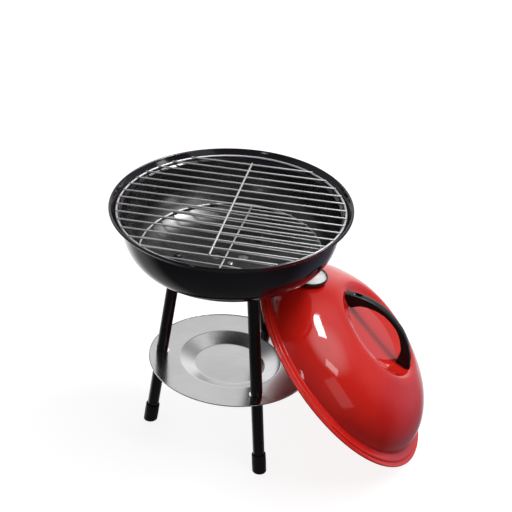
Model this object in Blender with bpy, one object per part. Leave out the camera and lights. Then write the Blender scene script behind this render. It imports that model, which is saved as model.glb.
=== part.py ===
"""Portable tabletop charcoal grill, standing open with its lid leaning beside it.

Metres, +Z up.  The stand, bowl and grates share one vertical axis; the lid is modelled
about its own axis and placed by the empty "lid_frame".  The whole model is shifted so that
its origin is the middle of its footprint, on the surface that it stands on.
"""

import math

import bmesh
import bpy
from mathutils import Matrix, Vector

# ------------------------------------------------------------------ driving dimensions
ROUND = 40                      # facets round the large spun pieces
GAP = 0.0004                    # air left between pieces that touch on the real grill

# where the grill's vertical axis stands in the model
AXIS_X = -0.0672
AXIS_Y = 0.0030

# bowl
RIM_R = 0.1780                  # outside radius over the rolled edge
RIM_Z = 0.4060                  # top of the rolled edge
BEAD_R = 0.0020                 # radius of the rolled edge
BOWL_WALL = 0.0014
BOWL_BOTTOM_Z = 0.3020          # lowest point of the bowl, on the axis
SEAT_Z = 0.3956                 # ledge that carries the cooking grate
SPLAY = math.radians(8.18)      # lean of each leg
LEG_TOP_R = 0.0786              # where a leg's axis meets the bowl
DISH_R = LEG_TOP_R / math.sin(SPLAY)    # the bottom's spherical radius, square to the legs

# legs
LEG_FOOT_R = 0.1232             # leg axis at ground level
LEG_ANGLES = {"left": 175.07, "front": 295.07, "rear": 55.07}
TUBE_R = 0.0090
TUBE_WALL = 0.0012
CAP_R = 0.0110
CAP_TALL = 0.0300

# grates
GRATE_RING_R = 0.1665
GRATE_RING_Z = 0.39775
GRATE_RING_WIRE = 0.00175       # radius of the ring's wire
GRATE_ROD = 0.00130             # radius of the parallel rods
GRATE_RODS = 14
GRATE_PITCH = 0.0211
GRATE_TURN = math.radians(-12.3)        # heading of the rods
COAL_RING_Z = 0.3300
COAL_RING_WIRE = 0.00175
COAL_ROD = 0.00130
COAL_RODS = 12
COAL_PITCH = 0.0215
COAL_TURN = math.radians(-14.3)

# ash plate
PLATE_R = 0.1271
PLATE_Z = 0.1319
PLATE_THICK = 0.0010
PLATE_SHIFT = (0.0040, -0.0030)         # it hangs a little off centre on the legs
PLATE_LEAN = (0.0600, 0.0400)           # and a little out of level
PLATE_DISH_R = 0.0785
PLATE_FLOOR_R = 0.0545
PLATE_DEEP = 0.0100
PLATE_HOLE_R = TUBE_R + 0.0022

# air inlet in the bottom of the bowl
VENT_R = 0.0080
VENT_RING_R = 0.0280
VENTS = 4
DAMPER_R = 0.0430
DAMPER_THICK = 0.0012

# lid
LID_R = 0.1895                  # outside radius over the brim
LID_LEAN = math.radians(45.9)   # tilt of the lid's axis from upright
LID_HEADING = math.radians(-6.2)
LID_SPIN = math.radians(170.0)  # turns the handle's line in the lid's own plane
LID_X = 0.1772                  # centre of the brim, from the grill's axis
LID_Y = -0.0030
LID_FLOOR_GAP = 0.0004
LID_WALL = 0.0014
LID_BEAD = 0.0014
DOME_R = 0.1692                 # the dome is half an ellipsoid of these two radii
DOME_H = 0.0917
RECESS_WALL_TOP = (0.0735, 0.0722)      # top of the sloping wall of the round recess
RECESS_FLOOR_R = 0.0545
RECESS_FLOOR_H = 0.0664
RECESS_OFF = (0.0050, -0.0020)          # the pressed recess sits a little off the dome's axis

# lid handle, in the lid's own upright plane (distance from the axis, height)
HANDLE_OUTER = ((0.0770, 0.0792), (0.0700, 0.0852), (0.0560, 0.0950), (0.0400, 0.1030),
                (0.0210, 0.1084), (0.0, 0.1100))
HANDLE_INNER = ((0.0, 0.1028), (0.0150, 0.1014), (0.0312, 0.0952), (0.0460, 0.0850),
                (0.0525, 0.0755))
HANDLE_WIDE = 0.0160
SCREW_AT_R = 0.0690             # where each handle screw passes the recess wall

# thermometer, on the dome nearly in line with the handle
DIAL_AT_R = 0.1415
DIAL_TURN = math.radians(6.0)    # from the handle's line
DIAL_R = 0.0315
DIAL_DEEP = 0.0064


# ------------------------------------------------------------------ clean start
for old in list(bpy.data.objects):
    bpy.data.objects.remove(old, do_unlink=True)
for old in list(bpy.data.meshes):
    bpy.data.meshes.remove(old)

scene_collection = bpy.context.scene.collection


def material(name, colour, roughness, metallic=0.0, coat=0.0):
    made = bpy.data.materials.new(name)
    made.use_nodes = True
    shader = made.node_tree.nodes["Principled BSDF"]
    shader.inputs["Base Color"].default_value = (*colour, 1.0)
    shader.inputs["Roughness"].default_value = roughness
    shader.inputs["Metallic"].default_value = metallic
    shader.inputs["Coat Weight"].default_value = coat
    made.diffuse_color = (*colour, 1.0)
    return made


BLACK_ENAMEL = material("black_enamel", (0.010, 0.010, 0.012), 0.18, 0.0, 0.6)
RED_ENAMEL = material("red_enamel", (0.55, 0.010, 0.008), 0.16, 0.0, 0.7)
BLACK_PAINT = material("black_leg_paint", (0.008, 0.008, 0.009), 0.28)
CHROME_WIRE = material("chrome_wire", (0.72, 0.72, 0.72), 0.22, 1.0)
BRUSHED_SHEET = material("brushed_galvanised_sheet", (0.62, 0.62, 0.62), 0.38, 1.0)
ZINC = material("zinc_plated_steel", (0.60, 0.60, 0.60), 0.32, 1.0)
BLACK_RUBBER = material("black_rubber", (0.015, 0.015, 0.016), 0.60)
BLACK_PLASTIC = material("black_moulded_plastic", (0.012, 0.012, 0.013), 0.35)
DIAL_WHITE = material("dial_white", (0.86, 0.86, 0.84), 0.45)
NEEDLE_BLACK = material("needle_black", (0.02, 0.02, 0.02), 0.50)
LENS_GLASS = material("lens_glass", (0.90, 0.93, 0.93), 0.05)
BIMETAL = material("bimetal_strip", (0.55, 0.38, 0.22), 0.40, 1.0)


def new_object(name, bm, mat, parent=None, smooth=True, sharp=35.0):
    bmesh.ops.recalc_face_normals(bm, faces=bm.faces[:])
    if bm.calc_volume(signed=True) < 0:
        bmesh.ops.reverse_faces(bm, faces=bm.faces[:])
    mesh = bpy.data.meshes.new(name)
    bm.to_mesh(mesh)
    bm.free()
    if smooth:
        mesh.shade_smooth()
        mesh.set_sharp_from_angle(angle=math.radians(sharp))
    made = bpy.data.objects.new(name, mesh)
    scene_collection.objects.link(made)
    if mat is not None:
        mesh.materials.append(mat)
    if parent is not None:
        made.parent = parent
    return made


def empty(name, matrix, parent=None):
    made = bpy.data.objects.new(name, None)
    made.empty_display_size = 0.02
    scene_collection.objects.link(made)
    made.parent = parent
    made.matrix_local = matrix
    return made


def spun(profile, steps=ROUND, closed=False, turn=0.0):
    """A bmesh turned about Z from (radius, height) points; both ends lie on the axis
    unless closed is set, where the last point joins the first."""
    bm = bmesh.new()
    made = [bm.verts.new((r, 0.0, z)) for r, z in profile]
    edges = [bm.edges.new(pair) for pair in zip(made, made[1:])]
    if closed:
        edges.append(bm.edges.new((made[-1], made[0])))
    bmesh.ops.spin(bm, geom=made + edges, axis=(0, 0, 1), cent=(0, 0, 0),
                   angle=math.tau, steps=steps, use_merge=True, use_duplicate=False)
    bmesh.ops.remove_doubles(bm, verts=bm.verts[:], dist=2e-6)
    if turn:
        bmesh.ops.rotate(bm, verts=bm.verts[:], cent=(0, 0, 0),
                         matrix=Matrix.Rotation(turn, 3, "Z"))
    return bm


def rod_bm(start, end, radius, sides=6, turn=0.0):
    """A straight round rod between two points."""
    start, end = Vector(start), Vector(end)
    axis = end - start
    bm = bmesh.new()
    bmesh.ops.create_cone(bm, cap_ends=True, cap_tris=False, segments=sides,
                          radius1=radius, radius2=radius, depth=axis.length)
    place = (Matrix.Translation((start + end) / 2)
             @ axis.to_track_quat("Z", "Y").to_matrix().to_4x4()
             @ Matrix.Rotation(turn, 4, "Z"))
    bmesh.ops.transform(bm, matrix=place, verts=bm.verts[:])
    return bm


def hex_nut(bore, corner, low, high):
    """A six-sided nut with a round bore, on the Z axis."""
    bm = bmesh.new()
    rings = []
    for z in (low, high):
        rings.append(([bm.verts.new((bore * math.cos(math.tau * k / 24), bore * math.sin(math.tau * k / 24), z))
                       for k in range(24)],
                      [bm.verts.new((corner * math.cos(math.tau * k / 6), corner * math.sin(math.tau * k / 6), z))
                       for k in range(6)]))
    for (in0, out0), (in1, out1) in zip(rings, rings[1:]):
        for k in range(24):
            bm.faces.new((in0[k], in1[k], in1[(k + 1) % 24], in0[(k + 1) % 24]))
        for k in range(6):
            bm.faces.new((out0[k], out0[(k + 1) % 6], out1[(k + 1) % 6], out1[k]))
    for inner, outer in rings:
        for k in range(6):
            bm.faces.new([outer[k], outer[(k + 1) % 6]] + [inner[(4 * k + 4 - j) % 24] for j in range(5)])
    return bm


def cutter(name, bm, parent=None):
    made = new_object(name, bm, None, parent, smooth=False)
    made.hide_render = True
    made.display_type = "WIRE"
    return made


def cut(target, tool, operation="DIFFERENCE"):
    added = target.modifiers.new(tool.name, "BOOLEAN")
    added.operation = operation
    added.solver = "EXACT"
    added.object = tool
    return added


def arc(centre, radius, first, last, count):
    """(r, z) points on a circle, angles in degrees."""
    found = []
    for i in range(count + 1):
        a = math.radians(first + (last - first) * i / count)
        found.append((centre[0] + radius * math.cos(a), centre[1] + radius * math.sin(a)))
    return found


def bezier(p0, p1, p2, p3, count):
    found = []
    for i in range(count + 1):
        t = i / count
        a, b, c, d = (1 - t) ** 3, 3 * t * (1 - t) ** 2, 3 * t * t * (1 - t), t ** 3
        found.append(tuple(a * p0[k] + b * p1[k] + c * p2[k] + d * p3[k] for k in (0, 1)))
    return found


def offset(points, distance):
    """The same line moved sideways, to the left of its direction."""
    found = []
    for i, point in enumerate(points):
        before = points[max(0, i - 1)]
        after = points[min(len(points) - 1, i + 1)]
        dx, dz = after[0] - before[0], after[1] - before[1]
        size = math.hypot(dx, dz)
        found.append((point[0] - dz / size * distance, point[1] + dx / size * distance))
    return found


def smooth_line(points, per_span):
    """A Catmull-Rom line through design points."""
    padded = [points[0]] + list(points) + [points[-1]]
    found = []
    for i in range(1, len(padded) - 2):
        p0, p1, p2, p3 = padded[i - 1:i + 3]
        for j in range(per_span):
            t = j / per_span
            found.append(tuple(
                0.5 * (2 * p1[k] + (p2[k] - p0[k]) * t
                       + (2 * p0[k] - 5 * p1[k] + 4 * p2[k] - p3[k]) * t * t
                       + (3 * p1[k] - p0[k] - 3 * p2[k] + p3[k]) * t ** 3)
                for k in (0, 1)))
    found.append(points[-1])
    return found


grill_frame = empty("grill_frame", Matrix.Translation((AXIS_X, AXIS_Y, 0.0)))


# ------------------------------------------------------------------ bowl
def dish_z(r):
    """Height of the outside of the bowl's shallow bottom."""
    return BOWL_BOTTOM_Z + DISH_R - math.sqrt(DISH_R ** 2 - r * r)


dish_edge = 0.1050
dish_slope = math.asin(dish_edge / DISH_R)
bowl_outer = [(r, dish_z(r)) for r in (0.0, 0.030, 0.055, 0.079)]
bowl_outer += bezier(
    (dish_edge, dish_z(dish_edge)),
    (dish_edge + 0.0380 * math.cos(dish_slope), dish_z(dish_edge) + 0.0380 * math.sin(dish_slope)),
    (0.1600, 0.3450),
    (0.1602, 0.3862), 7)
bowl_inner = offset(bowl_outer, BOWL_WALL)
bowl_inner[0] = (0.0, BOWL_BOTTOM_Z + BOWL_WALL)
bead_at = (RIM_R - BEAD_R, RIM_Z - BEAD_R)
bowl_top = [(0.1610, 0.3917), (0.1632, 0.3940), (0.1690, 0.3943), (0.1712, 0.3965),
            (0.1738, 0.4010)]
bowl_top += arc(bead_at, BEAD_R, -75, 165, 4)
bowl_top += [(0.1722, 0.4012), (0.1702, 0.3972), (0.1692, SEAT_Z), (0.1624, SEAT_Z),
             (0.1600, 0.3932)]
fire_bowl = new_object("fire_bowl", spun(bowl_outer + bowl_top + bowl_inner[::-1]),
                       BLACK_ENAMEL, grill_frame)


# ------------------------------------------------------------------ legs and their fixings
def leg_frame(side):
    """Z runs up the leg from ground level, leaning in to the axis; X points outwards."""
    a = math.radians(LEG_ANGLES[side])
    return (Matrix.Rotation(a, 4, "Z") @ Matrix.Translation((LEG_FOOT_R, 0, 0))
            @ Matrix.Rotation(-SPLAY, 4, "Y"))


leg_long = (dish_z(LEG_TOP_R) - 0.0) / math.cos(SPLAY)      # ground to the bowl, along the leg
tube_top = leg_long - GAP - 0.0001
tube_foot = 0.0060

leg_tube = None
bolt_mesh = washer_mesh = insert_mesh = None
for side in LEG_ANGLES:
    frame = empty("leg_frame_" + side, leg_frame(side), grill_frame)

    tube = [(TUBE_R - TUBE_WALL, tube_foot), (TUBE_R - 0.0003, tube_foot), (TUBE_R, tube_foot + 0.0003),
            (TUBE_R, tube_top - 0.0003), (TUBE_R - 0.0003, tube_top), (TUBE_R - TUBE_WALL, tube_top)]
    new_object("leg_" + side, spun(tube, 16, closed=True), BLACK_PAINT, frame)

    # the cap is a cup about the leg, trimmed level so that it stands flat
    bore = TUBE_R + 0.0003
    cup = [(0.0, -0.0060), (CAP_R - 0.0012, -0.0060), (CAP_R, -0.0048), (CAP_R, CAP_TALL - 0.0012),
           (CAP_R - 0.0009, CAP_TALL), (bore, CAP_TALL), (bore, tube_foot - GAP), (0.0, tube_foot - GAP)]
    bm = spun(cup, 16)
    into_leg = leg_frame(side).inverted()
    level = into_leg.to_3x3() @ Vector((0, 0, 1))
    found = bmesh.ops.bisect_plane(bm, geom=bm.verts[:] + bm.edges[:] + bm.faces[:], dist=1e-7,
                                   plane_co=into_leg @ Vector((0, 0, 0)), plane_no=level,
                                   clear_inner=True)
    edge = [e for e in found["geom_cut"] if isinstance(e, bmesh.types.BMEdge)]
    bmesh.ops.edgeloop_fill(bm, edges=edge)
    new_object("foot_cap_" + side, bm, BLACK_RUBBER, frame)

    # threaded plug pressed into the top of the tube
    plug_r = TUBE_R - TUBE_WALL - 0.0003
    plug = [(0.0035, tube_top - 0.0220), (plug_r, tube_top - 0.0220), (plug_r, tube_top - 0.0002),
            (0.0035, tube_top - 0.0002)]
    new_object("leg_plug_" + side, spun(plug, 16, closed=True), ZINC, frame)

    # washer and bolt inside the bowl
    inside = leg_long + BOWL_WALL + 0.0001
    washer = [(0.0034, inside + GAP), (0.0078, inside + GAP), (0.0078, inside + GAP + 0.0012),
              (0.0034, inside + GAP + 0.0012)]
    new_object("leg_washer_" + side, spun(washer, 16, closed=True), ZINC, frame)
    seat = inside + GAP + 0.0012 + GAP
    bolt = [(0.0, tube_top - 0.0180), (0.0030, tube_top - 0.0180), (0.0030, seat), (0.0058, seat),
            (0.0058, seat + 0.0010), (0.0048, seat + 0.0026), (0.0028, seat + 0.0035),
            (0.0, seat + 0.0038)]
    new_object("leg_bolt_" + side, spun(bolt, 16), ZINC, frame)

    hole = cutter("cut_bolt_" + side, rod_bm((0, 0, leg_long - 0.006), (0, 0, leg_long + 0.008),
                                             0.0034, 16), frame)
    cut(fire_bowl, hole)


# ------------------------------------------------------------------ air inlet and damper
for i in range(VENTS):
    a = math.tau * (i + 0.5) / VENTS
    at = (VENT_RING_R * math.cos(a), VENT_RING_R * math.sin(a))
    cut(fire_bowl, cutter(f"cut_vent_{i}", rod_bm((*at, BOWL_BOTTOM_Z - 0.01), (*at, BOWL_BOTTOM_Z + 0.01),
                                                  VENT_R, 16), grill_frame))
cut(fire_bowl, cutter("cut_rivet", rod_bm((0, 0, BOWL_BOTTOM_Z - 0.01), (0, 0, BOWL_BOTTOM_Z + 0.01),
                                          0.0029, 12), grill_frame))

damper_frame = empty("damper_frame", Matrix.Translation((0, 0, BOWL_BOTTOM_Z - GAP)), grill_frame)
lift = [dish_z(r) - BOWL_BOTTOM_Z for r in (0.0, 0.012, 0.024, 0.034, DAMPER_R)]
upper = list(zip((0.0, 0.012, 0.024, 0.034, DAMPER_R), lift))
disc = [(0.0, -DAMPER_THICK)] + [(r, z - DAMPER_THICK) for r, z in upper[1:]] + upper[::-1]
vent_damper = new_object("vent_damper", spun(disc, 32), ZINC, damper_frame)
# its thumb tab, bent down at the end
tab_z = dish_z(DAMPER_R) - BOWL_BOTTOM_Z
bm = bmesh.new()
side_line = [(0.0340, tab_z - 0.0016), (0.0520, tab_z - 0.0008), (0.0590, tab_z - 0.0045),
             (0.0590, tab_z - 0.0105), (0.0576, tab_z - 0.0105), (0.0576, tab_z - 0.0052),
             (0.0515, tab_z - 0.0020), (0.0340, tab_z - 0.0022)]
loop = [bm.verts.new((x, -0.0065, z)) for x, z in side_line]
face = bm.faces.new(loop)
pushed = bmesh.ops.extrude_face_region(bm, geom=[face])
bmesh.ops.translate(bm, vec=(0, 0.0130, 0),
                    verts=[v for v in pushed["geom"] if isinstance(v, bmesh.types.BMVert)])
tab = cutter("join_damper_tab", bm, damper_frame)
cut(vent_damper, tab, "UNION")
for i in range(VENTS):
    a = math.tau * i / VENTS
    at = (VENT_RING_R * math.cos(a), VENT_RING_R * math.sin(a))
    cut(vent_damper, cutter(f"cut_damper_{i}", rod_bm((*at, -0.01), (*at, 0.01), VENT_R, 16), damper_frame))
cut(vent_damper, cutter("cut_damper_rivet", rod_bm((0, 0, -0.01), (0, 0, 0.01), 0.0029, 12), damper_frame))

low = BOWL_BOTTOM_Z - GAP - DAMPER_THICK - GAP
high = BOWL_BOTTOM_Z + BOWL_WALL + GAP
rivet = [(0.0, low - 0.0018), (0.0030, low - 0.0016), (0.0048, low - 0.0008), (0.0050, low),
         (0.0025, low), (0.0025, high), (0.0048, high), (0.0044, high + 0.0010),
         (0.0026, high + 0.0018), (0.0, high + 0.0020)]
new_object("damper_rivet", spun(rivet, 16), ZINC, grill_frame)


# ------------------------------------------------------------------ grates
def grate(name, ring_r, ring_z, ring_wire, rod, rods, pitch, turn, bar_short):
    """A ring with parallel rods welded on top of it and one bar across the rods."""
    bm = spun([(ring_r + ring_wire * math.cos(math.tau * (k + 0.5) / 6),
                ring_wire * math.sin(math.tau * (k + 0.5) / 6)) for k in range(6)],
              ROUND, closed=True)
    made = new_object(name, bm, CHROME_WIRE, grill_frame)
    made.location = (0, 0, ring_z)
    rod_z = ring_wire + rod - 0.0009          # sunk into the ring as a weld is
    bar_z = rod_z + 2 * rod - 0.0007
    spin = Matrix.Rotation(turn, 3, "Z")
    for i in range(rods):
        off = (i - (rods - 1) / 2) * pitch
        half = math.sqrt(ring_r ** 2 - off * off) + 0.0012
        ends = [spin @ Vector((x, off, rod_z)) for x in (-half, half)]
        piece = cutter(f"join_{name}_rod_{i}", rod_bm(*ends, rod, 6), made)
        cut(made, piece, "UNION")
    reach = (rods - 1) / 2 * pitch + 0.0030 - bar_short
    ends = [spin @ Vector((0.0007, y, bar_z)) for y in (-reach, reach)]
    cut(made, cutter(f"join_{name}_bar", rod_bm(*ends, rod * 1.05, 6), made), "UNION")
    return made


def wall_radius_at(z, clear):
    """Radius at which a ring of that clearance just rests on the inside of the bowl."""
    best = 0.0
    for i in range(4000):
        r = 0.100 + 0.060 * i / 4000
        near = min(math.hypot(r - a, z - b) for a, b in fine_inner)
        if near < clear:
            break
        best = r
    return best


fine_inner = []
for (r0, z0), (r1, z1) in zip(bowl_inner, bowl_inner[1:]):
    fine_inner += [(r0 + (r1 - r0) * k / 10, z0 + (z1 - z0) * k / 10) for k in range(10)]
coal_ring_r = wall_radius_at(COAL_RING_Z, COAL_RING_WIRE + 0.0006)
grate("cooking_grate", GRATE_RING_R, GRATE_RING_Z, GRATE_RING_WIRE, GRATE_ROD, GRATE_RODS,
      GRATE_PITCH, GRATE_TURN, 0.0020)
grate("charcoal_grate", coal_ring_r, COAL_RING_Z, COAL_RING_WIRE, COAL_ROD, COAL_RODS,
      COAL_PITCH, COAL_TURN, 0.0)


# ------------------------------------------------------------------ ash plate
plate_up = Vector((PLATE_LEAN[0], PLATE_LEAN[1], 1.0)).normalized()
plate_place = (Matrix.Translation((PLATE_SHIFT[0], PLATE_SHIFT[1], PLATE_Z))
               @ Vector((0, 0, 1)).rotation_difference(plate_up).to_matrix().to_4x4())
plate_frame = empty("plate_frame", plate_place, grill_frame)
t = PLATE_THICK
plate_top = [(0.0, -PLATE_DEEP), (PLATE_FLOOR_R - 0.002, -PLATE_DEEP),
             (PLATE_FLOOR_R + 0.0015, -PLATE_DEEP + 0.0008),
             (PLATE_DISH_R - 0.003, -0.0009), (PLATE_DISH_R, 0.0),
             (PLATE_R - 0.0030, 0.0), (PLATE_R - 0.0012, 0.0006), (PLATE_R - 0.0008, 0.0018)]
plate_under = [(PLATE_R, 0.0018), (PLATE_R - 0.0002, -0.0002), (PLATE_R - 0.0020, -t),
               (PLATE_DISH_R + 0.0002, -t), (PLATE_DISH_R - 0.0028, -0.0009 - t),
               (PLATE_FLOOR_R + 0.0017, -PLATE_DEEP + 0.0008 - t),
               (PLATE_FLOOR_R - 0.002, -PLATE_DEEP - t), (0.0, -PLATE_DEEP - t)]
ash_plate = new_object("ash_plate", spun(plate_under[::-1] + plate_top[::-1]), BRUSHED_SHEET, plate_frame)
for side in LEG_ANGLES:
    into = leg_frame(side)
    ends = [into @ Vector((0, 0, h)) for h in (0.095, 0.175)]
    cut(ash_plate, cutter("cut_plate_" + side, rod_bm(*ends, PLATE_HOLE_R, 24), grill_frame))


# ------------------------------------------------------------------ lid
lid_turn = (Matrix.Rotation(LID_HEADING, 4, "Z") @ Matrix.Rotation(LID_LEAN, 4, "Y")
            @ Matrix.Rotation(LID_SPIN, 4, "Z"))
lid_z = (LID_R - LID_BEAD) * math.sin(LID_LEAN) + LID_BEAD + LID_FLOOR_GAP
lid_frame = empty("lid_frame", Matrix.Translation((LID_X, LID_Y, lid_z)) @ lid_turn, grill_frame)


def dome_h(r):
    return DOME_H * math.sqrt(max(0.0, 1 - (r / DOME_R) ** 2))


lid_outer = [(0.0, RECESS_FLOOR_H), (RECESS_FLOOR_R - 0.0020, RECESS_FLOOR_H),
             (RECESS_FLOOR_R + 0.0012, RECESS_FLOOR_H + 0.0008),
             RECESS_WALL_TOP, (0.0768, 0.0741), (0.0805, 0.0762), (0.0850, 0.0775), (0.0893, 0.0773)]
lid_outer += [(DOME_R * math.sin(a), DOME_H * math.cos(a))
              for a in (math.radians(34.6 + (86.0 - 34.6) * k / 7) for k in range(8))]
lid_outer += [(0.1700, 0.0052), (0.1716, 0.0046), (0.1795, 0.0044), (0.1812, 0.0036), (0.1822, 0.0016),
              (0.1868, 0.0012)]
lid_inner = offset(lid_outer, -LID_WALL)
lid_inner[0] = (0.0, RECESS_FLOOR_H - LID_WALL)
lid_edge = arc((LID_R - LID_BEAD, 0.0), LID_BEAD, 120, -120, 4)
bm = spun(lid_outer + lid_edge + lid_inner[::-1])
for v in bm.verts:
    far = math.hypot(v.co.x, v.co.y)
    ease = min(1.0, max(0.0, (0.1300 - far) / (0.1300 - 0.0920)))
    ease = ease * ease * (3 - 2 * ease)
    v.co.x += RECESS_OFF[0] * ease
    v.co.y += RECESS_OFF[1] * ease
lid_shell = new_object("lid_shell", bm, RED_ENAMEL, lid_frame)
recess_frame = empty("recess_frame", Matrix.Translation((RECESS_OFF[0], RECESS_OFF[1], 0.0)), lid_frame)

# recess wall, which the handle's feet rest on
wall_low = (RECESS_FLOOR_R + 0.0012, RECESS_FLOOR_H + 0.0008)
wall_high = RECESS_WALL_TOP
wall_tilt = math.atan2(wall_high[1] - wall_low[1], wall_high[0] - wall_low[0])


def wall_point(r):
    return (r, wall_low[1] + (r - wall_low[0]) * math.tan(wall_tilt))


# handle: one outline in the upright plane, pushed out to its width
outer_line = smooth_line(HANDLE_OUTER, 3)
inner_line = smooth_line(HANDLE_INNER, 3)
foot_in = wall_point(0.0562)
foot_clear = GAP / math.cos(wall_tilt) + 0.0002
foot = [(foot_in[0], foot_in[1] + foot_clear),
        (wall_high[0], wall_high[1] + foot_clear),
        (0.0762, 0.0739 + foot_clear),
        (0.0778, 0.0765 + foot_clear)]
half_line = inner_line + foot + outer_line[:-1]
right = half_line
left = [(-x, z) for x, z in reversed(half_line) if x > 1e-6]
apex = [outer_line[-1]]
outline = right + apex + left
bm = bmesh.new()
loop = [bm.verts.new((x, -HANDLE_WIDE / 2, z)) for x, z in outline]
face = bm.faces.new(loop)
pushed = bmesh.ops.extrude_face_region(bm, geom=[face])
bmesh.ops.translate(bm, vec=(0, HANDLE_WIDE, 0),
                    verts=[v for v in pushed["geom"] if isinstance(v, bmesh.types.BMVert)])
lid_handle = new_object("lid_handle", bm, BLACK_PLASTIC, recess_frame)

HEAD_UP = 0.0125                # underside of the screw head, above the recess wall
for name, way in (("upper", 1), ("lower", -1)):
    at = wall_point(SCREW_AT_R)
    place = (Matrix.Rotation(0 if way > 0 else math.pi, 4, "Z") @ Matrix.Translation((at[0], 0, at[1]))
             @ Matrix.Rotation(-wall_tilt, 4, "Y"))
    frame = empty("handle_screw_frame_" + name, place, recess_frame)
    pocket = [(0.0, -0.010), (0.0026, -0.010), (0.0026, HEAD_UP - GAP), (0.0050, HEAD_UP - GAP),
              (0.0050, 0.040), (0.0, 0.040)]
    cut(lid_handle, cutter("cut_handle_" + name, spun(pocket, 16), frame))
    cut(lid_shell, cutter("cut_shell_" + name, rod_bm((0, 0, -0.006), (0, 0, 0.006), 0.0026, 16), frame))
    screw = [(0.0, -0.0090), (0.0020, -0.0090), (0.0020, HEAD_UP), (0.0040, HEAD_UP),
             (0.0040, HEAD_UP + 0.0010), (0.0030, HEAD_UP + 0.0022), (0.0, HEAD_UP + 0.0027)]
    new_object("handle_screw_" + name, spun(screw, 16), ZINC, frame)
    new_object("handle_nut_" + name, hex_nut(0.0025, 0.0042, -0.0064, -LID_WALL - 0.0012), ZINC, frame,
               smooth=False)

# ------------------------------------------------------------------ thermometer
slope = math.atan2(DIAL_AT_R / DOME_R ** 2, dome_h(DIAL_AT_R) / DOME_H ** 2)
dial_frame = empty("thermometer_frame",
                   Matrix.Rotation(DIAL_TURN, 4, "Z") @ Matrix.Translation((DIAL_AT_R, 0, dome_h(DIAL_AT_R)))
                   @ Matrix.Rotation(slope, 4, "Y"), lid_frame)
cut(lid_shell, cutter("cut_shell_thermometer", rod_bm((0, 0, -0.008), (0, 0, 0.006), 0.0052, 20), dial_frame))
base = 0.0009
R = DIAL_R
case = [(0.0031, -0.0110), (0.0045, -0.0110), (0.0045, base), (R - 0.0030, base), (R - 0.0006, base + 0.0018),
        (R, base + DIAL_DEEP - 0.0012), (R - 0.0006, base + DIAL_DEEP), (R - 0.0018, base + DIAL_DEEP),
        (R - 0.0018, base + DIAL_DEEP - 0.0006), (R - 0.0009, base + DIAL_DEEP - 0.0010),
        (R - 0.0013, base + 0.0021), (R - 0.0035, base + 0.0010), (0.0031, base + 0.0010)]
new_object("thermometer_case", spun(case, 24, closed=True), BLACK_PAINT, dial_frame)
face_z = base + 0.0022
dial = [(0.0012, face_z), (R - 0.0018, face_z), (R - 0.0018, face_z + 0.0006), (0.0012, face_z + 0.0006)]
new_object("thermometer_dial", spun(dial, 24, closed=True), DIAL_WHITE, dial_frame)
lens_top = base + DIAL_DEEP - 0.0010 - GAP
lens = [(0.0, lens_top - 0.0009), (R - 0.0013, lens_top - 0.0009), (R - 0.0013, lens_top), (0.0, lens_top)]
new_object("thermometer_lens", spun(lens, 24), LENS_GLASS, dial_frame)
stem = [(0.0, -0.0460), (0.0024, -0.0454), (0.0027, -0.0440), (0.0027, base + 0.0013), (0.0046, base + 0.0013),
        (0.0046, base + 0.0018), (0.0019, base + 0.0018), (0.0019, -0.0448), (0.0, -0.0448)]
new_object("thermometer_stem", spun(stem, 16), ZINC, dial_frame)
new_object("thermometer_nut", hex_nut(0.0049, 0.0085, -0.0085, -0.0052), ZINC, dial_frame, smooth=False)

needle_frame = empty("needle_frame", Matrix.Identity(4), dial_frame)
spindle = [(0.0, -0.0435), (0.00045, -0.0435), (0.00045, face_z + 0.0015), (0.0, face_z + 0.0015)]
new_object("thermometer_spindle", spun(spindle, 8), ZINC, needle_frame)
needle_z = face_z + 0.0009
NEEDLE_HEADING = math.radians(215.0)      # resting end of the scale
bm = bmesh.new()
tip = R - 0.0068
outline = [(-0.0045, 0.0009), (-0.0045, -0.0009), (-0.0016, -0.0012), (0.0, -0.0019), (0.0016, -0.0012),
           (tip, -0.00035), (tip, 0.00035), (0.0016, 0.0012), (0.0, 0.0019), (-0.0016, 0.0012)]
loop = [bm.verts.new((x, y, needle_z)) for x, y in outline]
face = bm.faces.new(loop)
pushed = bmesh.ops.extrude_face_region(bm, geom=[face])
bmesh.ops.translate(bm, vec=(0, 0, 0.0004),
                    verts=[v for v in pushed["geom"] if isinstance(v, bmesh.types.BMVert)])
bmesh.ops.rotate(bm, verts=bm.verts[:], cent=(0, 0, 0), matrix=Matrix.Rotation(NEEDLE_HEADING, 3, "Z"))
needle = new_object("thermometer_needle", bm, NEEDLE_BLACK, needle_frame)
cut(needle, cutter("cut_needle", rod_bm((0, 0, needle_z - 0.002), (0, 0, needle_z + 0.002), 0.0008, 12),
                   needle_frame))

# bimetal coil inside the stem, a flat strip wound as a helix
bm = bmesh.new()
turns, per_turn, coil_r, strip_t, strip_w, rise = 4, 10, 0.00125, 0.00025, 0.0026, 0.0046
sections = []
for i in range(turns * per_turn + 1):
    a = math.tau * i / per_turn
    z = -0.0420 + rise * i / per_turn
    sections.append([bm.verts.new((r * math.cos(a), r * math.sin(a), z + dz))
                     for r, dz in ((coil_r - strip_t, 0), (coil_r + strip_t, 0),
                                   (coil_r + strip_t, strip_w), (coil_r - strip_t, strip_w))])
for one, two in zip(sections, sections[1:]):
    for k in range(4):
        bm.faces.new((one[k], one[(k + 1) % 4], two[(k + 1) % 4], two[k]))
bm.faces.new(sections[0])
bm.faces.new(sections[-1][::-1])
new_object("thermometer_coil", bm, BIMETAL, dial_frame)
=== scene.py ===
import math
import random

import bpy
import numpy as np
from mathutils import Matrix, Vector


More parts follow.
